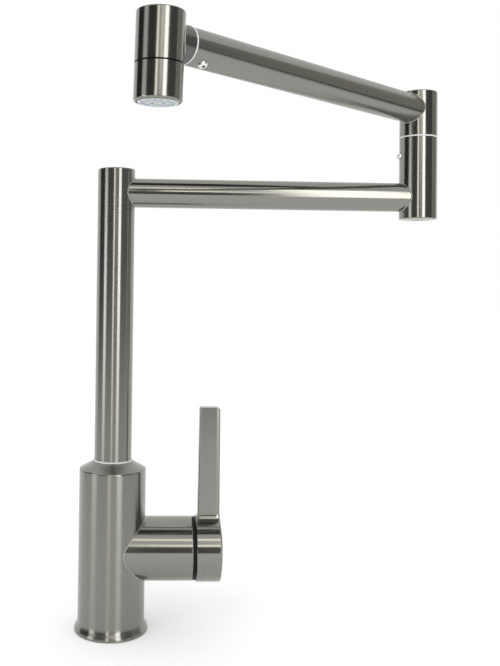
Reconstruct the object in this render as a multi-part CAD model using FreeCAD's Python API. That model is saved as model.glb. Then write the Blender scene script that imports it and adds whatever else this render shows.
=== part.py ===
"""Deck mounted single lever mixer with a folding, double jointed spout. Millimetres, +Z up.

Origin: centre of the foot on the deck. +X: along the valve hub and the lower spout arm. Rest pose:
lever upright (closed), lower arm along +X, upper arm folded back over it.
"""
import FreeCAD, Part
import math
import os

os.makedirs("parts", exist_ok=True)
V = FreeCAD.Vector
X, Y, Z = V(1, 0, 0), V(0, 1, 0), V(0, 0, 1)

# ---------------------------------------------------------------- clearances
RUN = 0.05          # radial running clearance of a spigot in its socket
AXIAL = 0.05        # axial running clearance on a washer
FREE = 0.4          # clearance of covers and shells that only pass each other

# ---------------------------------------------------------------- body
BODY_R = 25.0
BODY_WALL = 3.0
SHOULDER_Z = 119.5          # edge between cylinder and shoulder
SHOULDER_RISE = 6.1
FOOT_FLARE = 2.4
FOOT_R = BODY_R + FOOT_FLARE
FOOT_LAND = 0.9             # straight lip of the foot
FOOT_CURL_R = 5.3           # convex curl above the lip
FOOT_CURL_DEG = 35.8
HUB_Z = 59.84
HUB_WALL = 2.5
GASKET_T = 2.0
GASKET_FIT = 0.1
INSERT_T = 10.0
PORT_Y = 8.0                # flexible hose ports, half spacing
PORT_R = 4.6
PORT_DEPTH = 6.0
STUD_X = 14.0               # fixing studs, half spacing
STUD_R = 3.4
STUD_DEPTH = 8.0
TUBE_R = 4.5
TUBE_WALL = 1.3
TUBE_X = 6.0

# ---------------------------------------------------------------- valve
CART_R = 17.5
CART_BACK = 28.5
CART_L = 21.5
PIVOT_X = CART_BACK + CART_L        # lever pivot on the hub axis
CART_BASE_T = 3.5
FIXED_T = 2.5
MOVE_T = 3.0
CART_SHELL = 2.5
DISC_R = CART_R - CART_SHELL
DISC_PLAY = 3.5             # how far the moving disc is smaller than the fixed one
MOVE_R = DISC_R - DISC_PLAY
COUPLER_T = 5.0
CARRIER_R = 11.0
STEM_R = 3.0
STEM_BIG_R = 4.0
PIN_R = 1.5
NUT_STEP = 1.5
NUT_R = CART_R + NUT_STEP
NUT_T = 7.0
CORE_END = PIVOT_X + NUT_T
CORE_WALL = 1.85
HUB_R = NUT_R + CORE_WALL + HUB_WALL
HUB_RIM = 3.0
HUB_END = CORE_END + HUB_RIM
WATER_R = 3.0
OUT_R = 3.5
PORT_DROP = 6.0             # inlet ports below the hub axis
PORT_RISE = 9.0             # outlet port above the hub axis
DOME_R = 26.1               # dome under the lever, centred on the pivot
DOME_WALL = 1.5
DOME_HOLE_R = 15.8
DOME_STEP = 0.45
DOME_RING_R = HUB_R - DOME_STEP
CAP_STEP = 0.75
CAP_R = HUB_R + CAP_STEP
CAP_GAP = 2.55
CAP_START = HUB_END + CAP_GAP
CAP_L = 18.35
CAP_EDGE = CAP_START + CAP_L
CAP_BULGE = 2.4
CAP_ROUND = 1.2
BLADE_INSET = 1.55
BLADE_TAPER = 0.9
BLADE_L0 = CAP_START + BLADE_INSET          # left side of the blade at its foot
BLADE_L1 = BLADE_L0 + BLADE_TAPER           # and at its tip
BLADE_EDGE = 0.3
BLADE_RIGHT = CAP_EDGE - BLADE_EDGE
BLADE_REACH = 106.06
BLADE_TOP = HUB_Z + BLADE_REACH
BLADE_T0, BLADE_T1 = 10.5, 8.0      # thickness at foot and tip
BLADE_CORNER = 2.2
BLADE_FLARE = 1.6
ROLL_R = 12.0               # the blade's front rolls off to its right edge
ROLL_DEG = 10.0
ROLL_CORNER = 1.2
BOSS_R = 5.0
GRUB_R = 2.0
GRUB_BACK = 3.3             # behind the cap's edge, in its solid end
STEM_BACK = 1.4
GRUB_L = 6.0

# ---------------------------------------------------------------- spout
RISER_R = 14.0
RISER_WALL = 1.5
RISER_TOP = 344.9
NECK_STEP = 0.9
NECK_R = RISER_R + NECK_STEP
ARM_R = 11.0
ARM_WALL = 1.2
ARM1_DROP = 17.6
ARM1_Z = RISER_TOP - ARM1_DROP
ARM1_L = 231.4
POST_FOOT = 16.8            # the lower post ends this far below the lower arm
POST_BOTTOM = ARM1_Z - POST_FOOT
WASHER_T = 1.0
ELBOW_RISE = 45.45
ELBOW_Z = ARM1_Z + ELBOW_RISE       # lower face of the elbow washer
UPPER_POST_L = 35.15
POST_TOP = ELBOW_Z + UPPER_POST_L
ARM2_DROP = 13.5
ARM2_Z = POST_TOP - ARM2_DROP
ARM2_L = 263.8
ARM2_DEG = 218.8
NECK_L = 19.2
ARM2_END = ARM2_L - NECK_L          # end of the upper arm tube, from the elbow axis
END_CAP_T = 2.0
PLUG_T = 2.0
END_ROUND = 0.9
SPIGOT_R = 9.0
BORE_R = SPIGOT_R + RUN
FLOW_R = 5.5
RING_SEC = 1.8              # radial space of an O-ring
SOCKET_R = 12.0
SCREW_HEAD_R = 3.0
SCREW_HEAD_T = 2.0
SCREW_R = 2.0
POST_SCREW_DROP = 13.45
POST_SCREW_Z = ELBOW_Z - POST_SCREW_DROP
POST_SCREW_DEG = 175.0
ARM_SCREW_BACK = 9.6
ARM_SCREW_S = ARM2_END - ARM_SCREW_BACK
ARM_SCREW_ROLL = 24.0       # from straight down, towards the front

# ---------------------------------------------------------------- head
HEAD_R = 14.0
HEAD_WALL = 1.7
HEAD_TOP = 14.9
HEAD_SPLIT = -13.9
SLEEVE_L = 22.0
SLEEVE_END = HEAD_SPLIT - SLEEVE_L
GROOVE_T = 0.9
GROOVE_DEPTH = 0.7
SLEEVE_STEP = 0.1
SLEEVE_R = HEAD_R - SLEEVE_STEP
SLEEVE_WALL = 2.1
MOUTH_R = SLEEVE_R - SLEEVE_WALL
LIP_R = 1.8
HEAD_ROLL = -2.2            # head turned about the upper arm
NOSE_STEP = 0.5
NOSE_R = MOUTH_R - NOSE_STEP
NOSE_L = 8.0
AER_FIT = 0.1
AER_R = MOUTH_R - AER_FIT
AER_WALL = 1.2
AER_PROUD = 0.2
AER_L = 13.0
NECK_SPIGOT_R = 6.5
NECK_FLOW_R = 4.2
NECK_SPIGOT_L = 19.0


def cyl(r, h, p=V(0, 0, 0), d=Z):
    return Part.makeCylinder(r, h, p, d)


def tube(r, ri, h, p=V(0, 0, 0), d=Z):
    """Hollow cylinder; the bore runs past both ends."""
    d = V(d).normalize()
    return cyl(r, h, p, d).cut(cyl(ri, h + 2, p - d, d))


def along_x(r, x0, x1, y=0.0, z=HUB_Z):
    return cyl(r, x1 - x0, V(x0, y, z), X)


def lathe(edges_or_points, base=V(0, 0, 0), axis=Z):
    """Solid of revolution of an (r, z) outline made of points or of (mid, end) arc pairs."""
    edges, last = [], None
    first = None
    for item in edges_or_points:
        if isinstance(item[0], tuple):
            mid, end = (V(q[0], 0, q[1]) for q in item)
            edges.append(Part.Arc(last, mid, end).toShape())
            last = end
        else:
            q = V(item[0], 0, item[1])
            if last is None:
                first = q
            elif (q - last).Length > 1e-6:
                edges.append(Part.makeLine(last, q))
            last = q
    if (first - last).Length > 1e-6:
        edges.append(Part.makeLine(last, first))
    solid = Part.Face(Part.Wire(edges)).revolve(V(0, 0, 0), Z, 360)
    if solid.Volume < 0:
        solid.reverse()
    rot = FreeCAD.Rotation(Z, V(axis))
    return solid.transformed(FreeCAD.Placement(base, rot).toMatrix(), True)


def arc_pt(cx, cz, r, deg):
    return (cx + r * math.cos(math.radians(deg)), cz + r * math.sin(math.radians(deg)))


def oring(inner, outer, p, axis):
    sec = (outer - inner) / 2
    return Part.makeTorus(inner + sec, sec, p, axis)


def end_disc(r, z_end, up, inner_r):
    """Welded end disc of a tube: a rounded outer edge and a short plug inside the tube."""
    s = 1 if up else -1
    t, e = END_CAP_T, END_ROUND
    mid = arc_pt(r - e, z_end - s * e, e, 45 * s)
    pts = [(0, z_end - s * (t + PLUG_T)), (inner_r, z_end - s * (t + PLUG_T)), (inner_r, z_end - s * t),
           (r, z_end - s * t), (r, z_end - s * e), (mid, (r - e, z_end)), (0, z_end)]
    return lathe(pts)


def button_screw(seat_r, tip_r, p, d):
    """Retaining screw along d: seat_r and tip_r are distances from p; the head stands outward."""
    d = V(d).normalize()
    h, r = SCREW_HEAD_T, SCREW_HEAD_R
    head = lathe([(0, 0), (r, 0), (r, 0.3 * h), ((r * 0.86, 0.78 * h), (r * 0.5, h)), (0, h)],
                 p + d * seat_r, d)
    hexa = Part.makePolygon([V(1.15 * math.cos(i * math.pi / 3), 1.15 * math.sin(i * math.pi / 3), 0)
                             for i in range(7)])
    key = Part.Face(hexa).extrude(V(0, 0, 2.4))
    key = key.transformed(FreeCAD.Placement(p + d * (seat_r - 0.4), FreeCAD.Rotation(Z, d)).toMatrix(), True)
    return head.fuse(cyl(SCREW_R, seat_r - tip_r + 0.2, p + d * tip_r, d)).cut(key)


nodes = {}

# ================================================================ body and foot
curl = math.radians(FOOT_CURL_DEG)
cove_r = ((FOOT_R - BODY_R) - FOOT_CURL_R * (1 - math.cos(curl))) / (1 - math.cos(curl))
z_inf = FOOT_LAND + FOOT_CURL_R * math.sin(curl)
z_cove = z_inf + cove_r * math.sin(curl)
shoulder_top = SHOULDER_Z + SHOULDER_RISE
cone = (BODY_R - 6.4, SHOULDER_Z + 0.56 * SHOULDER_RISE + 0.35)
outer = [
    (0, 0), (FOOT_R - 0.5, 0), (arc_pt(FOOT_R - 0.5, 0.5, 0.5, -45), (FOOT_R, 0.5)), (FOOT_R, FOOT_LAND),
    (arc_pt(FOOT_R - FOOT_CURL_R, FOOT_LAND, FOOT_CURL_R, FOOT_CURL_DEG / 2),
     arc_pt(FOOT_R - FOOT_CURL_R, FOOT_LAND, FOOT_CURL_R, FOOT_CURL_DEG)),
    (arc_pt(BODY_R + cove_r, z_cove, cove_r, 180 + FOOT_CURL_DEG / 2), (BODY_R, z_cove)),
    (BODY_R, SHOULDER_Z - 0.6), ((BODY_R - 0.16, SHOULDER_Z + 0.25), (BODY_R - 0.75, SHOULDER_Z + 0.8)),
    cone, ((0.42 * cone[0] + 0.58 * NECK_R, 0.5 * (cone[1] + shoulder_top) - 0.05), (NECK_R, shoulder_top)),
    (0, shoulder_top),
]
inner_r = BODY_R - BODY_WALL
cavity = lathe([(0, -1), (inner_r, -1), (inner_r, SHOULDER_Z - 8), (SOCKET_R, SHOULDER_Z - 2), (0, SHOULDER_Z - 2)])
hub = lathe([(0, 0), (HUB_R, 0), (HUB_R, HUB_END - 0.8),
             (arc_pt(HUB_R - 0.8, HUB_END - 0.8, 0.8, 45), (HUB_R - 0.8, HUB_END)), (0, HUB_END)],
            V(0, 0, HUB_Z), X)
hub_in = HUB_R - HUB_WALL
gasket_in, gasket_out = inner_r + 0.2, FOOT_R - 2.0
body = lathe(outer).cut(cavity).cut(along_x(hub_in, 0, BODY_R + 1))
body = body.cut(cyl(SOCKET_R, 20, V(0, 0, SHOULDER_Z - 4)))
body = body.cut(tube(gasket_out, gasket_in, GASKET_T, V(0, 0, 0)))
nodes["body_shell"] = body
hub = hub.cut(cyl(BODY_R, SHOULDER_Z)).cut(along_x(hub_in, 0, HUB_END + 1))
nodes["hub_tube"] = hub
nodes["base_gasket"] = tube(gasket_out - GASKET_FIT, gasket_in + GASKET_FIT, GASKET_T)

insert_z = 0.0
insert = cyl(inner_r, INSERT_T, V(0, 0, insert_z))
for side in (-1, 1):
    insert = insert.cut(cyl(PORT_R, PORT_DEPTH, V(TUBE_X, side * PORT_Y, insert_z - 0.001)))
    insert = insert.cut(cyl(TUBE_R - TUBE_WALL, INSERT_T + 2, V(TUBE_X, side * PORT_Y, insert_z - 1)))
    insert = insert.cut(cyl(TUBE_R, INSERT_T, V(TUBE_X, side * PORT_Y, insert_z + PORT_DEPTH + 1)))
    insert = insert.cut(cyl(STUD_R, STUD_DEPTH, V(side * STUD_X, 0, insert_z - 0.001)))
nodes["base_insert"] = insert

# ================================================================ valve core and waterways
BOSS_Z0, BOSS_Z1 = HUB_Z - 17.0, HUB_Z + 23.0
core = along_x(hub_in, 2.0, CORE_END).fuse(cyl(15.5, BOSS_Z1 - BOSS_Z0, V(0, 0, BOSS_Z0)))
pocket_r = CART_R + 0.1
core = core.cut(along_x(pocket_r, CART_BACK, CORE_END + 1)).cut(along_x(NUT_R, PIVOT_X, CORE_END + 1))
tube_top = HUB_Z - 15.0
in_z, out_z = HUB_Z - PORT_DROP, HUB_Z + PORT_RISE
for side in (-1, 1):
    core = core.cut(cyl(TUBE_R, tube_top - 20, V(TUBE_X, side * PORT_Y, 20)))
    core = core.cut(cyl(WATER_R, in_z - tube_top + 2, V(TUBE_X, side * PORT_Y, tube_top - 2)))
    core = core.cut(along_x(WATER_R, TUBE_X - WATER_R, CART_BACK + 1, side * PORT_Y, in_z))
core = core.cut(along_x(OUT_R, -OUT_R, CART_BACK + 1, 0, out_z))
core = core.cut(cyl(FLOW_R, BOSS_Z1 - out_z + 1, V(0, 0, out_z)))
nodes["valve_core"] = core
tube_z0 = insert_z + PORT_DEPTH + 1
for name, side in (("inlet_tube_hot", -1), ("inlet_tube_cold", 1)):
    nodes[name] = tube(TUBE_R, TUBE_R - TUBE_WALL, tube_top - tube_z0, V(TUBE_X, side * PORT_Y, tube_z0))

socket = cyl(SOCKET_R, shoulder_top - BOSS_Z1, V(0, 0, BOSS_Z1))
clip_z = BOSS_Z1 + 9.0
socket = socket.cut(cyl(BORE_R, 60, V(0, 0, BOSS_Z1 + 4))).cut(cyl(FLOW_R, 10, V(0, 0, BOSS_Z1 - 1)))
nodes["spout_socket"] = socket.cut(cyl(BORE_R + 0.9, 2.0, V(0, 0, clip_z - 0.2)))

# ================================================================ ceramic cartridge
disc_x = CART_BACK + CART_BASE_T
move_x = disc_x + FIXED_T + RUN
carrier_x = move_x + MOVE_T + COUPLER_T + 0.7
cart_lip = PIVOT_X + 4.1
cart_end = cart_lip + 1.5
base = along_x(CART_R - 0.1, CART_BACK, disc_x)
fixed = along_x(DISC_R, disc_x, disc_x + FIXED_T)
ports = (("cold", PORT_Y, in_z, WATER_R), ("hot", -PORT_Y, in_z, WATER_R), ("outlet", 0.0, out_z, OUT_R))
for label, py, pz, pr in ports:
    base = base.cut(along_x(pr, CART_BACK - 1, disc_x + 1, py, pz))
    base = base.cut(along_x(pr + 1.4, CART_BACK - 1, CART_BACK + 1.2, py, pz))
    fixed = fixed.cut(along_x(pr - 0.4, disc_x - 1, disc_x + FIXED_T + 1, py, pz))
    nodes["port_seal_" + label] = tube(pr + 1.35, pr + 0.2, 1.2, V(CART_BACK, py, pz), X)
nodes["cartridge_base"] = base
nodes["fixed_disc"] = fixed
housing = along_x(CART_R, disc_x, PIVOT_X).fuse(along_x(CART_R - 3.0, PIVOT_X - 1, cart_end))
housing = housing.cut(along_x(DISC_R + 0.5, disc_x - 1, carrier_x))
housing = housing.cut(along_x(CARRIER_R + RUN, carrier_x - 1, cart_lip)).cut(along_x(9.0, 40, cart_end + 1))
nodes["cartridge_housing"] = housing
nodes["cartridge_nut"] = tube(NUT_R, CART_R - 2.9, NUT_T, V(PIVOT_X, 0, HUB_Z), X)

carrier = along_x(CARRIER_R, carrier_x + RUN, cart_lip - RUN)
carrier = carrier.cut(Part.makeBox(20, 2 * (STEM_R + 0.15), 15, V(carrier_x - 1, -STEM_R - 0.15, HUB_Z - 7.5)))
carrier = carrier.cut(cyl(PIN_R, 40, V(PIVOT_X, -20, HUB_Z), Y))
nodes["spindle_carrier"] = carrier
pin_l = CARRIER_R - 0.5
nodes["pivot_pin"] = cyl(PIN_R, 2 * pin_l, V(PIVOT_X, -pin_l, HUB_Z), Y)

stem_ball = PIVOT_X - 9.0
stem_tip = stem_ball - STEM_R + 0.1
stem = Part.makeSphere(STEM_R - 0.1, V(stem_ball, 0, HUB_Z)).fuse(along_x(STEM_R - 0.6, stem_ball, PIVOT_X - 3))
stem = stem.fuse(along_x(STEM_R, PIVOT_X - 4, PIVOT_X + 6)).fuse(along_x(STEM_BIG_R, PIVOT_X + 5.5, CAP_EDGE - STEM_BACK))
nodes["stem"] = stem.cut(cyl(PIN_R + RUN, 40, V(PIVOT_X, -20, HUB_Z), Y))

mover = along_x(MOVE_R, move_x, move_x + MOVE_T)
mover = mover.fuse(Part.makeBox(COUPLER_T + 0.5, 11.0, 11.0, V(move_x + MOVE_T - 0.5, -5.5, HUB_Z - 5.5)))
mover = mover.cut(Part.makeBox(20, 2 * STEM_R + 0.1, 2 * STEM_R + 0.5,
                               V(stem_tip - 0.25, -STEM_R - 0.05, HUB_Z - STEM_R - 0.25)))
nodes["moving_disc"] = mover

# ================================================================ dome cover and lever
dome_ball = Part.makeSphere(DOME_R, V(PIVOT_X, 0, HUB_Z))
dome_in = Part.makeSphere(DOME_R - DOME_WALL, V(PIVOT_X, 0, HUB_Z))
dome = along_x(DOME_RING_R, HUB_END, PIVOT_X + DOME_R + 1).common(dome_ball)
dome = dome.fuse(along_x(hub_in, CORE_END + 0.2, HUB_END + 0.5))
dome = dome.cut(along_x(hub_in - DOME_WALL, CORE_END - 1, PIVOT_X + DOME_R + 1).common(dome_in))
dome = dome.cut(along_x(DOME_HOLE_R, CORE_END - 1, PIVOT_X + DOME_R + 2))
nodes["dome_cover"] = dome

rim = arc_pt(CAP_R - CAP_ROUND, CAP_EDGE - CAP_ROUND, CAP_ROUND, 78)
apex = CAP_EDGE + CAP_BULGE
bulge_r = (rim[0] ** 2 + (apex - rim[1]) ** 2) / (2 * (apex - rim[1]))      # crown centred on the axis
half = math.degrees(math.asin(rim[0] / bulge_r)) / 2
cap_outer = lathe([
    (0, CAP_START), (CAP_R - 0.25, CAP_START), (CAP_R, CAP_START + 0.25), (CAP_R, CAP_EDGE - CAP_ROUND),
    (arc_pt(CAP_R - CAP_ROUND, CAP_EDGE - CAP_ROUND, CAP_ROUND, 39), rim),
    (arc_pt(0, apex - bulge_r, bulge_r, 90 - half), (0, apex)),
], V(0, 0, HUB_Z), X)
cap_ball = Part.makeSphere(DOME_R + FREE, V(PIVOT_X, 0, HUB_Z))


def blade_section(z, left, thick, flare):
    """Rounded section of the blade: flat front that rolls off to the right, full back, radiused sides."""
    x0, x1, h = left - 0.3 * flare, BLADE_RIGHT + 0.1 * flare, thick / 2 + flare
    c = min(2.4, h - 0.8)
    e = 0.7 * c
    k = c * (1 - math.sqrt(0.5))
    ke = e * (1 - math.sqrt(0.5))
    roll = math.radians(ROLL_DEG)
    xe = x1 - ROLL_CORNER * (1 - math.sin(roll))
    xr = xe - ROLL_R * math.sin(roll)
    ye = -h + ROLL_R * (1 - math.cos(roll))
    cx, cy = xe - ROLL_CORNER * math.sin(roll), ye + ROLL_CORNER * math.cos(roll)
    turn = (math.pi / 2 - roll) / 2
    pts = [V(x0 + e, -h, z), V(xr, -h, z), V(xe, ye, z), V(x1, cy, z), V(x1, h - c, z), V(x1 - c, h, z),
           V(x0 + e, h, z), V(x0, h - e, z), V(x0, -h + e, z)]
    mids = [None, V(xr + ROLL_R * math.sin(roll / 2), -h + ROLL_R * (1 - math.cos(roll / 2)), z),
            V(cx + ROLL_CORNER * math.cos(turn), cy - ROLL_CORNER * math.sin(turn), z), None,
            V(x1 - k, h - k, z), V((x0 + x1) / 2, h + 0.25, z), V(x0 + ke, h - ke, z), None,
            V(x0 + ke, -h + ke, z)]
    edges = []
    for i, mid in enumerate(mids):
        a, b = pts[i], pts[(i + 1) % len(pts)]
        edges.append(Part.makeLine(a, b) if mid is None else Part.Arc(a, mid, b).toShape())
    return Part.Wire(edges)


foot_z = HUB_Z + math.sqrt(CAP_R ** 2 - (BLADE_T0 / 2 + BLADE_FLARE) ** 2) - 0.4
blade_h = BLADE_TOP - foot_z


def blade_wire(z, flare):
    u = (z - foot_z) / blade_h
    return blade_section(z, BLADE_L0 + (BLADE_L1 - BLADE_L0) * u, BLADE_T0 + (BLADE_T1 - BLADE_T0) * u, flare)


foot_loft = Part.makeLoft([blade_wire(foot_z, BLADE_FLARE), blade_wire(foot_z + 1.2, BLADE_FLARE * 0.42),
                           blade_wire(foot_z + 2.6, BLADE_FLARE * 0.08), blade_wire(foot_z + 4.2, 0.0)], True, False)
blade = Part.makeLoft([blade_wire(foot_z + 4.2, 0.0), blade_wire(BLADE_TOP, 0.0)], True, True)
c = BLADE_CORNER
left_top = BLADE_L1 - 0.02
top_frame = Part.Wire([
    Part.makeLine(V(left_top - 8, -30, foot_z), V(BLADE_RIGHT + 8, -30, foot_z)),
    Part.makeLine(V(BLADE_RIGHT + 8, -30, foot_z), V(BLADE_RIGHT + 8, -30, BLADE_TOP - 12)),
    Part.makeLine(V(BLADE_RIGHT + 8, -30, BLADE_TOP - 12), V(BLADE_RIGHT, -30, BLADE_TOP - 12)),
    Part.makeLine(V(BLADE_RIGHT, -30, BLADE_TOP - 12), V(BLADE_RIGHT, -30, BLADE_TOP - c)),
    Part.Arc(V(BLADE_RIGHT, -30, BLADE_TOP - c),
             V(BLADE_RIGHT - 0.2929 * c, -30, BLADE_TOP - 0.2929 * c), V(BLADE_RIGHT - c, -30, BLADE_TOP)).toShape(),
    Part.makeLine(V(BLADE_RIGHT - c, -30, BLADE_TOP), V(left_top + 0.6 * c, -30, BLADE_TOP)),
    Part.Arc(V(left_top + 0.6 * c, -30, BLADE_TOP),
             V(left_top + 0.176 * c, -30, BLADE_TOP - 0.176 * c), V(left_top, -30, BLADE_TOP - 0.6 * c)).toShape(),
    Part.makeLine(V(left_top, -30, BLADE_TOP - 0.6 * c), V(left_top - 8, -30, BLADE_TOP - 0.6 * c)),
    Part.makeLine(V(left_top - 8, -30, BLADE_TOP - 0.6 * c), V(left_top - 8, -30, foot_z)),
])
blade = blade.common(Part.Face(top_frame).extrude(V(0, 60, 0)))
handle = cap_outer.cut(cap_ball).fuse(blade.fuse(foot_loft))
boss = along_x(BOSS_R, PIVOT_X + 12.0, CAP_EDGE - 1.0)
handle = handle.fuse(boss).cut(along_x(STEM_BIG_R, PIVOT_X + 11.0, CAP_EDGE - STEM_BACK))
grub_x = CAP_EDGE - GRUB_BACK
handle = handle.cut(cyl(GRUB_R, CAP_R, V(grub_x, STEM_BIG_R - 0.5, HUB_Z), Y))
nodes["handle"] = handle.removeSplitter()
nodes["handle_grub_screw"] = cyl(GRUB_R, GRUB_L, V(grub_x, STEM_BIG_R, HUB_Z), Y).cut(
    cyl(0.6 * GRUB_R, GRUB_L, V(grub_x, STEM_BIG_R + 0.55 * GRUB_L, HUB_Z), Y))

# ================================================================ riser
washer_top = shoulder_top + WASHER_T
nodes["riser_washer"] = tube(RISER_R + 0.5, BORE_R + 0.5, WASHER_T, V(0, 0, shoulder_top))
riser_z0 = washer_top + AXIAL
riser_in = RISER_R - RISER_WALL
riser_h = RISER_TOP - END_CAP_T - riser_z0
riser = tube(RISER_R, riser_in, riser_h, V(0, 0, riser_z0))
nodes["riser_tube"] = riser.cut(cyl(ARM_R - ARM_WALL - 0.6, 30, V(0, 0, ARM1_Z), X))
nodes["riser_cap"] = end_disc(RISER_R, RISER_TOP, True, riser_in)


def spigot(r, z0, z_collar, z_top, collar_r, flow_r, grooves, clip=None, screw=None):
    """Turned spigot with a collar in the tube above it and grooves for its rings."""
    s = cyl(r, z_top - z0, V(0, 0, z0)).fuse(cyl(collar_r, z_top - z_collar, V(0, 0, z_collar)))
    s = s.cut(cyl(flow_r, z_top - z0 + 2, V(0, 0, z0 - 1)))
    for g in grooves:
        s = s.cut(tube(r + 1, r - RING_SEC, 2 * 1.05, V(0, 0, g - 1.05)))
    if clip is not None:
        s = s.cut(tube(r + 1, r - 1.2, 1.6, V(0, 0, clip)))
    if screw is not None:
        s = s.cut(tube(r + 1, r - 1.5, 2 * SCREW_R + 0.3, V(0, 0, screw - SCREW_R - 0.15)))
    return s


ring_z = (clip_z + 9.0, clip_z + 18.0)
nodes["riser_spigot"] = spigot(SPIGOT_R, BOSS_Z1 + 4.5, riser_z0, riser_z0 + 12, riser_in, FLOW_R, ring_z, clip_z)
for name, z in zip(("riser_oring_lower", "riser_oring_upper"), ring_z):
    nodes[name] = oring(SPIGOT_R - RING_SEC, SPIGOT_R + 0.02, V(0, 0, z), Z)
clip = tube(SPIGOT_R + 0.8, SPIGOT_R - 1.2, 1.6, V(0, 0, clip_z))
nodes["riser_clip"] = clip.cut(Part.makeBox(12, 5, 3, V(0, -2.5, clip_z - 0.5)))

# ================================================================ lower arm and elbow
elbow = V(ARM1_L, 0, 0)


def at_elbow(shape):
    shape = shape.copy()
    shape.translate(elbow)
    return shape


arm1 = cyl(ARM_R, ARM1_L, V(0, 0, ARM1_Z), X)
arm1 = arm1.cut(cyl(RISER_R, 80, V(0, 0, ARM1_Z - 40))).cut(at_elbow(cyl(RISER_R, 80, V(0, 0, ARM1_Z - 40))))
nodes["lower_arm_tube"] = arm1.cut(cyl(ARM_R - ARM_WALL, ARM1_L, V(0, 0, ARM1_Z), X))
post_z0 = POST_BOTTOM + END_CAP_T
post = tube(RISER_R, riser_in, ELBOW_Z - post_z0, V(0, 0, post_z0))
post = post.cut(cyl(ARM_R - ARM_WALL - 0.6, 30, V(0, 0, ARM1_Z), V(-1, 0, 0)))
sock_z0 = ARM1_Z + ARM_R + 4.0
sock = cyl(riser_in, ELBOW_Z - sock_z0, V(0, 0, sock_z0)).cut(cyl(BORE_R, 60, V(0, 0, sock_z0 + 3)))
sock = sock.cut(cyl(FLOW_R, 10, V(0, 0, sock_z0 - 1)))
a = math.radians(POST_SCREW_DEG)
screw_d = V(math.cos(a), math.sin(a), 0)
screw_p = V(0, 0, POST_SCREW_Z)
seat = RISER_R - 0.5
nodes["elbow_lower_post"] = at_elbow(post.cut(cyl(SCREW_HEAD_R + 0.05, 6, screw_p + screw_d * seat, screw_d))
                                     .cut(cyl(SCREW_R, 20, screw_p, screw_d)))
nodes["elbow_lower_cap"] = at_elbow(end_disc(RISER_R, POST_BOTTOM, False, riser_in))
nodes["elbow_socket"] = at_elbow(sock.cut(cyl(SCREW_R, 20, screw_p, screw_d)))
nodes["elbow_screw"] = at_elbow(button_screw(seat, SPIGOT_R - 1.2, screw_p, screw_d))
nodes["elbow_washer"] = at_elbow(tube(RISER_R + 0.15, BORE_R + 0.5, WASHER_T, V(0, 0, ELBOW_Z)))

upper_z0 = ELBOW_Z + WASHER_T + AXIAL
a = math.radians(ARM2_DEG)
arm_d = V(math.cos(a), math.sin(a), 0)
ring_z = (sock_z0 + 7.0, ELBOW_Z - 6.0)
nodes["elbow_spigot"] = at_elbow(spigot(SPIGOT_R, sock_z0 + 3.5, upper_z0, upper_z0 + 8, riser_in, FLOW_R, ring_z,
                                        None, POST_SCREW_Z))
for name, z in zip(("elbow_oring_lower", "elbow_oring_upper"), ring_z):
    nodes[name] = at_elbow(oring(SPIGOT_R - RING_SEC, SPIGOT_R + 0.02, V(0, 0, z), Z))
upper = tube(RISER_R, riser_in, POST_TOP - END_CAP_T - upper_z0, V(0, 0, upper_z0))
nodes["elbow_upper_post"] = at_elbow(upper.cut(cyl(ARM_R - ARM_WALL - 0.6, 30, V(0, 0, ARM2_Z), arm_d)))
nodes["elbow_top_cap"] = at_elbow(end_disc(RISER_R, POST_TOP, True, riser_in))

# ================================================================ upper arm
arm_o = elbow + V(0, 0, ARM2_Z)
arm2 = cyl(ARM_R, ARM2_END, arm_o, arm_d).cut(at_elbow(cyl(RISER_R, 60, V(0, 0, ARM2_Z - 30))))
arm2 = arm2.cut(cyl(ARM_R - ARM_WALL, ARM2_END + 2, arm_o, arm_d))
a = math.radians(ARM_SCREW_ROLL)
side = V(arm_d.y, -arm_d.x, 0)
if side.y > 0:
    side = side * -1
under = V(side.x * math.sin(a), side.y * math.sin(a), -math.cos(a))
bolt_p = arm_o + arm_d * ARM_SCREW_S
seat = ARM_R - 0.55
arm2 = arm2.cut(cyl(SCREW_HEAD_R + 0.05, 6, bolt_p + under * seat, under)).cut(cyl(SCREW_R, 20, bolt_p, under))
nodes["upper_arm_tube"] = arm2
bush_in = NECK_SPIGOT_R + RUN
bush_s0 = ARM2_END - NECK_SPIGOT_L - 3.0
bush = cyl(ARM_R - ARM_WALL, ARM2_END - bush_s0, arm_o + arm_d * bush_s0, arm_d)
bush = bush.cut(cyl(bush_in, 60, arm_o + arm_d * (bush_s0 + 2.0), arm_d))
bush = bush.cut(cyl(NECK_FLOW_R, 10, arm_o + arm_d * (bush_s0 - 1.0), arm_d))
nodes["arm_end_bush"] = bush.cut(cyl(SCREW_R, 20, bolt_p, under))
nodes["arm_screw"] = button_screw(seat, NECK_SPIGOT_R - 1.0, bolt_p, under)
nodes["head_washer"] = tube(ARM_R + 0.15, bush_in + 0.4, WASHER_T, arm_o + arm_d * ARM2_END, arm_d)

# ================================================================ head
head_o = arm_o + arm_d * ARM2_L
rise = FreeCAD.Rotation(arm_d, HEAD_ROLL).multVec(Z)


def head_lathe(points):
    return lathe(points, head_o, rise)


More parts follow.
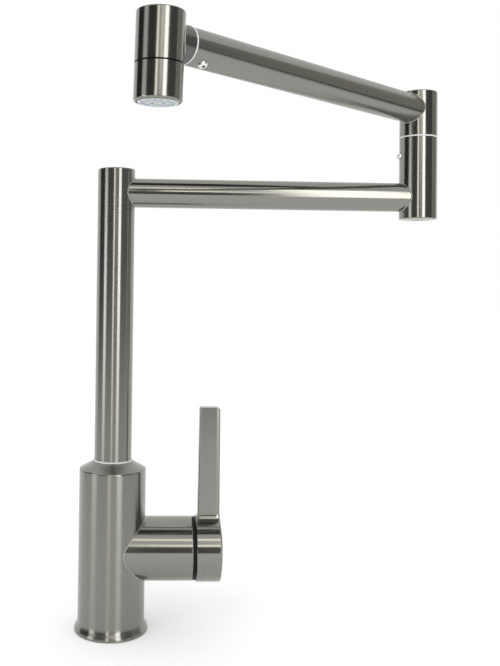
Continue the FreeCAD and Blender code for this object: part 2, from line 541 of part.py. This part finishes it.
neck_s0 = ARM2_END + WASHER_T + AXIAL
neck = cyl(ARM_R, ARM2_L - neck_s0, arm_o + arm_d * neck_s0, arm_d).cut(cyl(HEAD_R, 80, head_o - rise * 40, rise))
spig_s0 = ARM2_END - NECK_SPIGOT_L - 0.5
spig = cyl(NECK_SPIGOT_R, neck_s0 - spig_s0 + 1, arm_o + arm_d * spig_s0, arm_d)
neck_rings = (ARM2_END - 15.0, ARM2_END - 4.0)
for g in neck_rings:
    spig = spig.cut(tube(NECK_SPIGOT_R + 1, NECK_SPIGOT_R - 1.3, 1.7, arm_o + arm_d * (g - 0.85), arm_d))
spig = spig.cut(tube(NECK_SPIGOT_R + 1, NECK_SPIGOT_R - 1.2, 2 * SCREW_R + 0.3,
                     arm_o + arm_d * (ARM_SCREW_S - SCREW_R - 0.15), arm_d))
nodes["head_neck"] = neck.fuse(spig).cut(cyl(NECK_FLOW_R, 60, arm_o + arm_d * (spig_s0 - 1), arm_d))
for name, g in zip(("head_oring_inner", "head_oring_outer"), neck_rings):
    nodes[name] = oring(NECK_SPIGOT_R - 1.3, NECK_SPIGOT_R + 0.02, arm_o + arm_d * g, arm_d)

head_in = HEAD_R - HEAD_WALL
nose_in = NOSE_R - HEAD_WALL
nose_end = HEAD_SPLIT - NOSE_L
shell = head_lathe([(NOSE_R, nose_end), (NOSE_R, HEAD_SPLIT), (HEAD_R, HEAD_SPLIT), (HEAD_R, HEAD_TOP - END_CAP_T),
                    (head_in, HEAD_TOP - END_CAP_T), (head_in, HEAD_SPLIT + 2.4), (nose_in, HEAD_SPLIT + 0.8),
                    (nose_in, nose_end)])
nodes["head_body"] = shell.cut(cyl(NECK_FLOW_R, ARM2_L, arm_o, arm_d))
head_cap = end_disc(HEAD_R, HEAD_TOP, True, head_in)
nodes["head_top_cap"] = head_cap.transformed(
    FreeCAD.Placement(head_o, FreeCAD.Rotation(Z, rise)).toMatrix(), True)
groove_z = HEAD_SPLIT - GROOVE_T
nodes["head_groove_ring"] = head_lathe([(NOSE_R, groove_z), (HEAD_R - GROOVE_DEPTH, groove_z),
                                        (HEAD_R - GROOVE_DEPTH, HEAD_SPLIT), (NOSE_R, HEAD_SPLIT)])
nodes["aerator_sleeve"] = head_lathe([
    (NOSE_R, groove_z), (SLEEVE_R, groove_z), (SLEEVE_R, SLEEVE_END + LIP_R),
    (arc_pt(SLEEVE_R - LIP_R, SLEEVE_END + LIP_R, LIP_R, -45), (SLEEVE_R - LIP_R, SLEEVE_END)),
    (MOUTH_R, SLEEVE_END), (MOUTH_R, nose_end), (NOSE_R, nose_end)])

face_z = SLEEVE_END - AER_PROUD
aer_top = face_z + AER_L
hole_r = AER_R - AER_WALL
plate_t = 1.6
grille = head_lathe([(0, face_z), (AER_R - 0.3, face_z), (AER_R, face_z + 0.3), (AER_R, aer_top), (hole_r, aer_top),
                     (hole_r, face_z + plate_t), (0, face_z + plate_t)])
to_head = FreeCAD.Placement(head_o, FreeCAD.Rotation(Z, rise)).toMatrix()
bar = 0.7
bands = ((2.0, 5.2), (6.2, hole_r - 0.4))
for (r0, r1), count in zip(bands, (6, 12)):
    ring = tube(r1, r0, plate_t + 1, V(0, 0, face_z - 0.5))
    for i in range(count):
        spoke = Part.makeBox(r1 + 2, bar, plate_t + 2, V(0, -bar / 2, face_z - 1))
        spoke.rotate(V(0, 0, 0), Z, 360.0 * i / count)
        ring = ring.cut(spoke)
    grille = grille.cut(ring.transformed(to_head, True))
nodes["aerator_housing"] = grille
mesh_z = face_z + plate_t + 1.6
straightener = cyl(hole_r, 2.0, V(0, 0, mesh_z))
for row, count in ((0.0, 1), (3.4, 6), (6.8, 12)):
    for i in range(count):
        t = 2 * math.pi * i / count
        straightener = straightener.cut(cyl(1.0, 4, V(row * math.cos(t), row * math.sin(t), mesh_z - 1)))
nodes["flow_straightener"] = straightener.transformed(to_head, True)
nodes["aerator_gasket"] = head_lathe([(nose_in, aer_top), (AER_R, aer_top), (AER_R, nose_end), (nose_in, nose_end)])

for name, shape in nodes.items():
    shape.exportStep("parts/%s.step" % name)
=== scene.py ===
import math

import bpy
from mathutils import Matrix, Vector


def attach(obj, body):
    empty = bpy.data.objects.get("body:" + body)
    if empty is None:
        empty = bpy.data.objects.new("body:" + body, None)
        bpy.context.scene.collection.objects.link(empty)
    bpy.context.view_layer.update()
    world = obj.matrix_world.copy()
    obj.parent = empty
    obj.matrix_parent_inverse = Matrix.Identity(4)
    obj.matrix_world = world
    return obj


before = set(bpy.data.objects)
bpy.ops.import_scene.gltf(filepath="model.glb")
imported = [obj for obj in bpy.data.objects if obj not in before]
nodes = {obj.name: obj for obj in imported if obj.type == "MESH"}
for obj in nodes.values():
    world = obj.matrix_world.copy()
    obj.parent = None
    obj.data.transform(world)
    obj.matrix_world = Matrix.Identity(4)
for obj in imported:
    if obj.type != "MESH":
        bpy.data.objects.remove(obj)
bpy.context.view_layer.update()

MM = 0.001

# ---------------------------------------------------------------- main sizes, as in the solids (mm)
BODY_R, HUB_R, HUB_Z = 25.0, 23.35, 59.84
POST_R, ARM_R = 14.0, 11.0
ARM1_Z, ARM1_L = 327.3, 231.4
ARM2_Z, ARM2_L, ARM2_DEG = 394.4, 263.8, 218.8
HEAD_ROLL = -2.2

X, Z = Vector((1, 0, 0)), Vector((0, 0, 1))
arm2 = Vector((math.cos(math.radians(ARM2_DEG)), math.sin(math.radians(ARM2_DEG)), 0))
elbow = Vector((ARM1_L, 0, 0))
elbow_top = elbow + Z * ARM2_Z
head = elbow + arm2 * ARM2_L + Z * ARM2_Z
head_up = Matrix.Rotation(math.radians(HEAD_ROLL), 3, arm2) @ Z


def link(ob):
    bpy.context.scene.collection.objects.link(ob)
    return ob


def add_mesh(name, verts, faces, material, smooth=False):
    mesh = bpy.data.meshes.new(name)
    mesh.from_pydata(verts, [], faces)
    if smooth:
        mesh.polygons.foreach_set("use_smooth", [True] * len(faces))
    mesh.update()
    mesh.materials.append(material)
    return link(bpy.data.objects.new(name, mesh))


# ---------------------------------------------------------------- camera, fitted to the photograph
def make_camera():
    data = bpy.data.cameras.new("camera")
    data.sensor_width = 36
    data.lens = 43.8593
    data.shift_x = 0.135135
    data.shift_y = -0.0871276
    data.clip_start, data.clip_end = 0.01, 50
    cam = link(bpy.data.objects.new("camera", data))
    place = Vector((9.777866, -614.46476, 254.99929)) * MM
    right = Vector((0.9991538, -0.03924251, 0.01231616))
    up = Vector((-0.0129714, -0.01648661, 0.99977995))
    forward = Vector((0.03903083, 0.99909369, 0.01698169))
    turn = Matrix((right, up, -forward)).transposed().to_4x4()
    cam.matrix_world = Matrix.Translation(place) @ turn
    bpy.context.scene.camera = cam


make_camera()
bpy.context.scene.view_settings.view_transform = "Standard"


# ---------------------------------------------------------------- node helpers
MIX_A, MIX_B, MIX_RESULT = 6, 7, 2  # colour sockets of the mix node


class Nodes:
    """Short ways to add and link shader nodes."""

    def __init__(self, name, world=False):
        self.owner = (bpy.data.worlds if world else bpy.data.materials).new(name)
        self.owner.use_nodes = True
        self.tree = self.owner.node_tree
        self.tree.nodes.clear()

    def add(self, kind, **settings):
        n = self.tree.nodes.new(kind)
        for key, value in settings.items():
            setattr(n, key, value)
        return n

    def put(self, socket, value):
        if isinstance(value, bpy.types.NodeSocket):
            self.tree.links.new(value, socket)
        else:
            socket.default_value = value

    def position(self):
        return self.add("ShaderNodeTexCoord").outputs["Object"]

    def math(self, op, a, b, clamp=False):
        n = self.add("ShaderNodeMath", operation=op, use_clamp=clamp)
        self.put(n.inputs[0], a)
        self.put(n.inputs[1], b)
        return n.outputs[0]

    def plus(self, a, b):
        return self.math("ADD", a, b)

    def times(self, a, b):
        return self.math("MULTIPLY", a, b)

    def vec(self, op, a, b=None):
        n = self.add("ShaderNodeVectorMath", operation=op)
        self.put(n.inputs[0], a)
        if b is not None:
            self.put(n.inputs[1], b)
        return n.outputs["Value" if op in ("LENGTH", "DOT_PRODUCT") else "Vector"]

    def stretched(self, vector, factor):
        n = self.add("ShaderNodeVectorMath", operation="SCALE")
        self.put(n.inputs[0], vector)
        self.put(n.inputs["Scale"], factor)
        return n.outputs[0]

    def combine(self, x, y, z):
        n = self.add("ShaderNodeCombineXYZ")
        for i, v in enumerate((x, y, z)):
            self.put(n.inputs[i], v)
        return n.outputs[0]

    def split(self, v):
        n = self.add("ShaderNodeSeparateXYZ")
        self.put(n.inputs[0], v)
        return n.outputs

    def noise(self, vector, scale, detail, rough=0.5):
        n = self.add("ShaderNodeTexNoise")
        self.put(n.inputs["Vector"], vector)
        n.inputs["Scale"].default_value = scale
        n.inputs["Detail"].default_value = detail
        n.inputs["Roughness"].default_value = rough
        return n.outputs[0]

    def ramp(self, fac, low, high):
        """0 up to low, 1 from high, a straight line between them."""
        n = self.add("ShaderNodeValToRGB")
        start, end = n.color_ramp.elements
        start.position, end.position = low, high
        self.put(n.inputs[0], fac)
        return n.outputs[0]

    def mix(self, fac, a, b):
        n = self.add("ShaderNodeMix", data_type="RGBA")
        self.put(n.inputs[0], fac)
        self.put(n.inputs[MIX_A], a)
        self.put(n.inputs[MIX_B], b)
        return n.outputs[MIX_RESULT]

    def bump(self, height, distance, strength):
        n = self.add("ShaderNodeBump")
        n.inputs["Strength"].default_value = strength
        n.inputs["Distance"].default_value = distance
        self.put(n.inputs["Height"], height)
        return n.outputs[0]

    def background_ray(self):
        """1 for rays that see the white background: from the camera, from gloss and through glass."""
        path = self.add("ShaderNodeLightPath")
        seen = self.math("MAXIMUM", path.outputs["Is Camera Ray"], path.outputs["Is Glossy Ray"])
        return self.math("MAXIMUM", seen, path.outputs["Is Transmission Ray"])

    def surface(self, shader):
        out = self.add("ShaderNodeOutputMaterial")
        self.tree.links.new(shader, out.inputs[0])
        return self.owner


def rgba(c):
    return (*c, 1)


def shades(tint, darker, lighter):
    """The two ends of a colour's slight unevenness."""
    return [rgba([min(1.0, c * factor) for c in tint]) for factor in (darker, lighter)]


def principled(m, color, rough, metallic, normal, tangent=None, **more):
    n = m.add("ShaderNodeBsdfPrincipled")
    if tangent is not None:
        m.put(n.inputs["Tangent"], tangent)
    m.put(n.inputs["Base Color"], color)
    m.put(n.inputs["Roughness"], rough)
    n.inputs["Metallic"].default_value = metallic
    for key, value in more.items():
        n.inputs[key.replace("_", " ")].default_value = value
    m.put(n.inputs["Normal"], normal)
    return m.surface(n.outputs[0])


# ---------------------------------------------------------------- brushed metal
NICKEL = (0.26, 0.256, 0.233)
NECK_NICKEL = (0.15, 0.147, 0.143)
FINE, SOFT = 5200.0, 700.0  # brush lines: quick change across them, per metre
FINE_ROUND, SOFT_ROUND = 5.0, 2.5  # slow change along them, round a turned piece
FINE_LONG, SOFT_LONG = 120.0, 25.0  # slow change along them, up the blade, per metre
LINE_DETAIL, LINE_ROUGH = 3.0, 0.62
OUTWARD = 0.7  # share of the outward direction in the lay
BLADE_START, BLADE_FADE = 0.0845 - 0.002, 0.0025  # where the handle's lines turn upright (m)


def turned_coords(m, origin, axis):
    """Position along the part's axis, distance from it, and direction round it."""
    p = m.vec("SUBTRACT", m.position(), tuple(Vector(origin) * MM))
    axis = tuple(Vector(axis).normalized())
    along = m.vec("DOT_PRODUCT", p, axis)
    across = m.vec("SUBTRACT", p, m.stretched(axis, along))
    return along, m.vec("LENGTH", across), m.vec("NORMALIZE", across)


def streaks(m, *coordinates):
    """Noise drawn out into lines: each coordinate comes with its own scale."""
    scaled = [m.times(value, scale) for value, scale in coordinates]
    return m.noise(m.combine(*scaled), 1.0, LINE_DETAIL, LINE_ROUGH)


def round_lines(m, line, around, line_scale, round_scale):
    """Lines that run round the axis."""
    x, y, z = m.split(around)
    return streaks(m, (line, line_scale), (x, round_scale), (m.plus(y, z), round_scale))


def lay(m, axis, around):
    """Direction across the brush lines: along the axis on a cylinder, outward on an end face."""
    both = m.vec("ADD", m.stretched(around, OUTWARD), tuple(Vector(axis).normalized()))
    turn = m.add("ShaderNodeVectorTransform", vector_type="VECTOR",
                 convert_from="OBJECT", convert_to="WORLD")
    m.put(turn.inputs[0], both)
    return turn.outputs[0]


def brushed(name, origin, axis, rough, stretch, tint=NICKEL, blade=False):
    """Turned and brushed nickel; with blade, the lines run upright above BLADE_START."""
    m = Nodes(name)
    along, radius, around = turned_coords(m, origin, axis)
    tangent = lay(m, axis, around)
    line = m.plus(along, radius)
    fine = round_lines(m, line, around, FINE, FINE_ROUND)
    soft = round_lines(m, line, around, SOFT, SOFT_ROUND)
    if blade:
        x, y, z = m.split(m.position())
        on_blade = m.math("MULTIPLY", m.math("SUBTRACT", z, BLADE_START), 1 / BLADE_FADE, True)
        fine = m.mix(on_blade, fine, streaks(m, (x, FINE), (y, FINE), (z, FINE_LONG)))
        soft = m.mix(on_blade, soft, streaks(m, (x, SOFT), (y, SOFT), (z, SOFT_LONG)))
        tangent = m.mix(on_blade, tangent, lay(m, Z, (0, 0, 0)))
    lines = m.plus(m.times(fine, 0.6), m.times(soft, 0.4))
    color = m.mix(m.ramp(lines, 0.3, 0.7), *shades(tint, 0.93, 1.06))
    smudge = m.ramp(m.noise(m.position(), 38.0, 4.0, 0.6), 0.35, 0.8)
    roughness = m.plus(m.times(lines, 0.04), rough - 0.02)
    roughness = m.plus(roughness, m.times(smudge, 0.015))
    if blade:
        roughness = m.plus(roughness, m.times(on_blade, 0.05))
    relief = m.bump(lines, 0.000003, 0.1)
    return principled(m, color, roughness, 1.0, relief, tangent, Anisotropic=stretch)


steel_body = brushed("nickel_body", (0, 0, 0), Z, 0.25, 0.95)
steel_hub = brushed("nickel_hub", (0, 0, HUB_Z), X, 0.15, 0.55)
steel_riser = brushed("nickel_riser", (0, 0, 0), Z, 0.22, 0.95)
steel_handle = brushed("nickel_handle", (0, 0, HUB_Z), X, 0.14, 0.55, blade=True)
steel_arm1 = brushed("nickel_lower_arm", (0, 0, ARM1_Z), X, 0.14, 0.5)
steel_post = brushed("nickel_elbow", elbow, Z, 0.2, 0.9)
steel_arm2 = brushed("nickel_upper_arm", elbow_top, arm2, 0.23, 0.87)
steel_neck = brushed("nickel_neck", elbow_top, arm2, 0.3, 0.87, NECK_NICKEL)
steel_head = brushed("nickel_head", head, head_up, 0.21, 0.7)


# ---------------------------------------------------------------- other materials
def plain_metal(name, tint, rough):
    m = Nodes(name)
    n = m.noise(m.position(), 900.0, 3.0)
    color = m.mix(n, *shades(tint, 0.93, 1.05))
    roughness = m.plus(m.times(n, 0.12), rough - 0.06)
    return principled(m, color, roughness, 1.0, m.bump(n, 0.00001, 0.4))


def plain_plastic(name, tint, rough, spread, scale=700.0, **more):
    """spread is how far the colour strays to each side."""
    m = Nodes(name)
    p = m.position()
    n = m.noise(p, scale, 3.0)
    shade = m.plus(m.times(n, 0.6), m.times(m.noise(p, 60.0, 2.0), 0.4))
    color = m.mix(shade, *shades(tint, 1 - spread, 1 + spread))
    roughness = m.plus(m.times(n, 0.14), rough - 0.07)
    return principled(m, color, roughness, 0.0, m.bump(n, 0.00002, 0.5), **more)


weld_metal = plain_metal("weld_metal", (0.44, 0.43, 0.40), 0.30)
brass = plain_metal("machined_brass", (0.78, 0.62, 0.33), 0.25)
polished = plain_metal("polished_steel", (0.80, 0.80, 0.79), 0.12)
# Near black, darker than the rubber: partly the parts' own black, partly painted shade of the dark
# gap between the hub end and the handle cap and of the head's groove.
black = plain_plastic("black_with_gap_shade", (0.006, 0.006, 0.006), 0.5, 0.2, Specular_IOR_Level=0.15)
rubber = plain_plastic("black_rubber", (0.03, 0.03, 0.03), 0.6, 0.2)
nylon = plain_plastic("white_nylon", (0.88, 0.88, 0.87), 0.38, 0.04)
grey = plain_plastic("grey_nylon", (0.35, 0.35, 0.36), 0.45, 0.08)
cream = plain_plastic("cartridge_plastic", (0.80, 0.80, 0.78), 0.40, 0.04)
ceramic = plain_plastic("ceramic", (0.90, 0.89, 0.86), 0.15, 0.03)
acetal = plain_plastic("pale_acetal", (0.78, 0.84, 0.88), 0.22, 0.05, 500.0,
                       Subsurface_Weight=0.25, Subsurface_Scale=0.002)

finish = {
    steel_body: "body_shell",
    steel_hub: "hub_tube",
    steel_riser: "riser_tube riser_cap",
    steel_handle: "handle",
    steel_arm1: "lower_arm_tube",
    steel_post: "elbow_lower_post elbow_lower_cap elbow_upper_post elbow_top_cap",
    steel_arm2: "upper_arm_tube",
    steel_neck: "head_neck",
    steel_head: "head_body head_top_cap aerator_sleeve",
    polished: "elbow_screw arm_screw handle_grub_screw pivot_pin stem riser_clip",
    brass: "base_insert valve_core inlet_tube_hot inlet_tube_cold spout_socket cartridge_nut "
           "riser_spigot elbow_socket elbow_spigot arm_end_bush",
    # near black with painted gap shade on the dome cover and the head's groove ring
    black: "dome_cover head_groove_ring",
    rubber: "base_gasket port_seal_cold port_seal_hot port_seal_outlet riser_oring_lower "
            "riser_oring_upper elbow_oring_lower elbow_oring_upper head_oring_inner "
            "head_oring_outer aerator_gasket",
    nylon: "riser_washer elbow_washer head_washer",
    cream: "cartridge_base cartridge_housing",
    grey: "spindle_carrier",
    ceramic: "fixed_disc moving_disc",
    acetal: "aerator_housing flow_straightener",
}
for material, names in finish.items():
    for name in names.split():
        if name in nodes:
            for s in nodes[name].material_slots:
                s.material = material


# ---------------------------------------------------------------- weld beads along the saddles
BEAD_R = 0.45
BEAD_SIDES = 8
RIPPLE, RIPPLE_STEP = 0.12, 2.399  # height of the bead's ripple, and its phase from point to point


def saddle(base, direction, r_tube, r_post, up=Z, count=180):
    """Where a tube of r_tube that leaves base along direction meets the post of r_post about up."""
    side = up.cross(direction).normalized()
    out = []
    for i in range(count):
        t = 2 * math.pi * i / count
        u, v = r_tube * math.cos(t), r_tube * math.sin(t)
        out.append(base + direction * math.sqrt(r_post ** 2 - u * u) + side * u + up * v)
    return out


def bead(name, points, body):
    """A closed weld bead that follows points (mm)."""
    n = len(points)
    verts, faces = [], []
    centre = sum(points, Vector()) / n
    for i, p in enumerate(points):
        ahead = (points[(i + 1) % n] - points[i - 1]).normalized()
        a = p - centre
        a = (a - ahead * a.dot(ahead)).normalized()
        b = ahead.cross(a)
        ripple = 1.0 + RIPPLE * math.sin(i * RIPPLE_STEP)
        for k in range(BEAD_SIDES):
            w = 2 * math.pi * k / BEAD_SIDES
            verts.append((p + (a * math.cos(w) + b * math.sin(w)) * BEAD_R * ripple) * MM)
    for i in range(n):
        here, there = i * BEAD_SIDES, (i + 1) % n * BEAD_SIDES
        for k in range(BEAD_SIDES):
            k2 = (k + 1) % BEAD_SIDES
            faces.append((here + k, there + k, there + k2, here + k2))
    ob = add_mesh(name, [tuple(v) for v in verts], faces, weld_metal, smooth=True)
    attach(ob, body)


bead("weld_hub", saddle(Z * HUB_Z, X, HUB_R, BODY_R, count=240), "base")
bead("weld_riser_arm", saddle(Z * ARM1_Z, X, ARM_R, POST_R), "riser")
bead("weld_elbow_lower", saddle(elbow + Z * ARM1_Z, -X, ARM_R, POST_R), "riser")
bead("weld_elbow_upper", saddle(elbow_top, arm2, ARM_R, POST_R), "upper_arm")
bead("weld_head", saddle(head, -arm2, ARM_R, POST_R, head_up), "head")

# ---------------------------------------------------------------- floor and background
FLOOR_HALF = 8
FLOOR_TINTS = (0.90, 0.90, 0.90), (0.92, 0.92, 0.92)
FLOOR_GLOW = 0.21  # only for rays that see the background: brings the lit floor up to white
WORLD_LIGHT = 0.9
WORLD_LIFT = 0.1  # only for rays that see the background: brings the world up to white


def floor_material():
    m = Nodes("pale_floor")
    dark, light = FLOOR_TINTS
    diffuse = m.add("ShaderNodeBsdfDiffuse")
    m.put(diffuse.inputs[0], m.mix(m.noise(m.position(), 9.0, 2.0), rgba(dark), rgba(light)))
    glow = m.add("ShaderNodeEmission")
    m.put(glow.inputs[1], m.times(m.background_ray(), FLOOR_GLOW))
    both = m.add("ShaderNodeAddShader")
    m.put(both.inputs[0], diffuse.outputs[0])
    m.put(both.inputs[1], glow.outputs[0])
    return m.surface(both.outputs[0])


def make_world():
    world = Nodes("world", world=True)
    background = world.add("ShaderNodeBackground")
    background.inputs[0].default_value = (1, 1, 1, 1)
    strength = world.plus(world.times(world.background_ray(), WORLD_LIFT), WORLD_LIGHT)
    world.put(background.inputs[1], strength)
    out = world.add("ShaderNodeOutputWorld")
    world.put(out.inputs[0], background.outputs[0])
    bpy.context.scene.world = world.owner


corners = [(x * FLOOR_HALF, y * FLOOR_HALF, 0) for x, y in ((-1, -1), (1, -1), (1, 1), (-1, 1))]
add_mesh("floor", corners, [(0, 1, 2, 3)], floor_material())

# ---------------------------------------------------------------- studio cards and lamp
# Only reflections see the cards. Each has an azimuth range (0 is the front, + is to the right) and
# an elevation range in degrees, a level and a tint. Levels over 1 are bright cards. Levels under 1
# are grey or black flags: they hide most of the background in front of the object from the metal,
# which shows the pale floor and background elsewhere.
WARM, PLAIN = (1.0, 0.985, 0.88), (1.0, 1.0, 0.98)
CARD_CENTRE, CARD_RADIUS = Vector((0.1, 0, 0.2)), 1.5
CARD_STEPS = 8
CARDS = [
    ("soft_box_right", 13, 28, -7, 42, 4.4, PLAIN),
    ("soft_box_left", -73, -58, -7, 8, 3.6, PLAIN),
    ("strip_left", -18, -10, -7, 26, 3.2, WARM),
    ("bar_low", -2, 9, 16, 22, 3.2, WARM),
    ("bar_high", -8, 12, 37, 43, 3.0, WARM),
    ("flag_left", -55, -18, -7, 40, 0.06, PLAIN),
    ("flag_middle", -9, 11, -7, 14, 0.06, PLAIN),
    ("flag_right", 30, 76, -7, 40, 0.12, PLAIN),
    ("flag_side_left", -112, -75, -7, 40, 0.03, PLAIN),
    ("flag_side_right", 78, 112, -7, 3, 0.05, PLAIN),
    ("card_side_right", 78, 112, 4, 38, 0.45, WARM),
    ("flag_top", -40, 40, 60, 82, 0.05, PLAIN),
]


def card(name, az0, az1, el0, el1, level, tint):
    """A curved card that faces the object."""
    verts = []
    for i in range(CARD_STEPS + 1):
        az = math.radians(az0 + (az1 - az0) * i / CARD_STEPS)
        for el in (math.radians(el0), math.radians(el1)):
            way = Vector((math.sin(az) * math.cos(el), -math.cos(az) * math.cos(el), math.sin(el)))
            verts.append(tuple(CARD_CENTRE + way * CARD_RADIUS))
    faces = [(2 * i, 2 * i + 2, 2 * i + 3, 2 * i + 1) for i in range(CARD_STEPS)]
    m = Nodes(name)
    emission = m.add("ShaderNodeEmission")
    emission.inputs[0].default_value = rgba(tint)
    emission.inputs[1].default_value = level
    ob = add_mesh(name, verts, faces, m.surface(emission.outputs[0]))
    ob.visible_camera = False
    ob.visible_diffuse = False
    ob.visible_shadow = False
    ob.visible_transmission = False
    ob.visible_volume_scatter = False


def lamp(name, location, target, size, power):
    """A square area lamp that neither the camera nor reflections see."""
    data = bpy.data.lights.new(name, "AREA")
    data.shape = "SQUARE"
    data.size = size
    data.energy = power
    ob = link(bpy.data.objects.new(name, data))
    ob.location = location
    ob.rotation_mode = "QUATERNION"
    ob.rotation_quaternion = (Vector(target) - Vector(location)).to_track_quat("-Z", "Y")
    ob.visible_glossy = False
    ob.visible_camera = False


for row in CARDS:
    card(*row)
lamp("lamp_front", (-0.7, -1.2, 1.5), (0.05, 0, 0.15), 1.2, 5)
make_world()
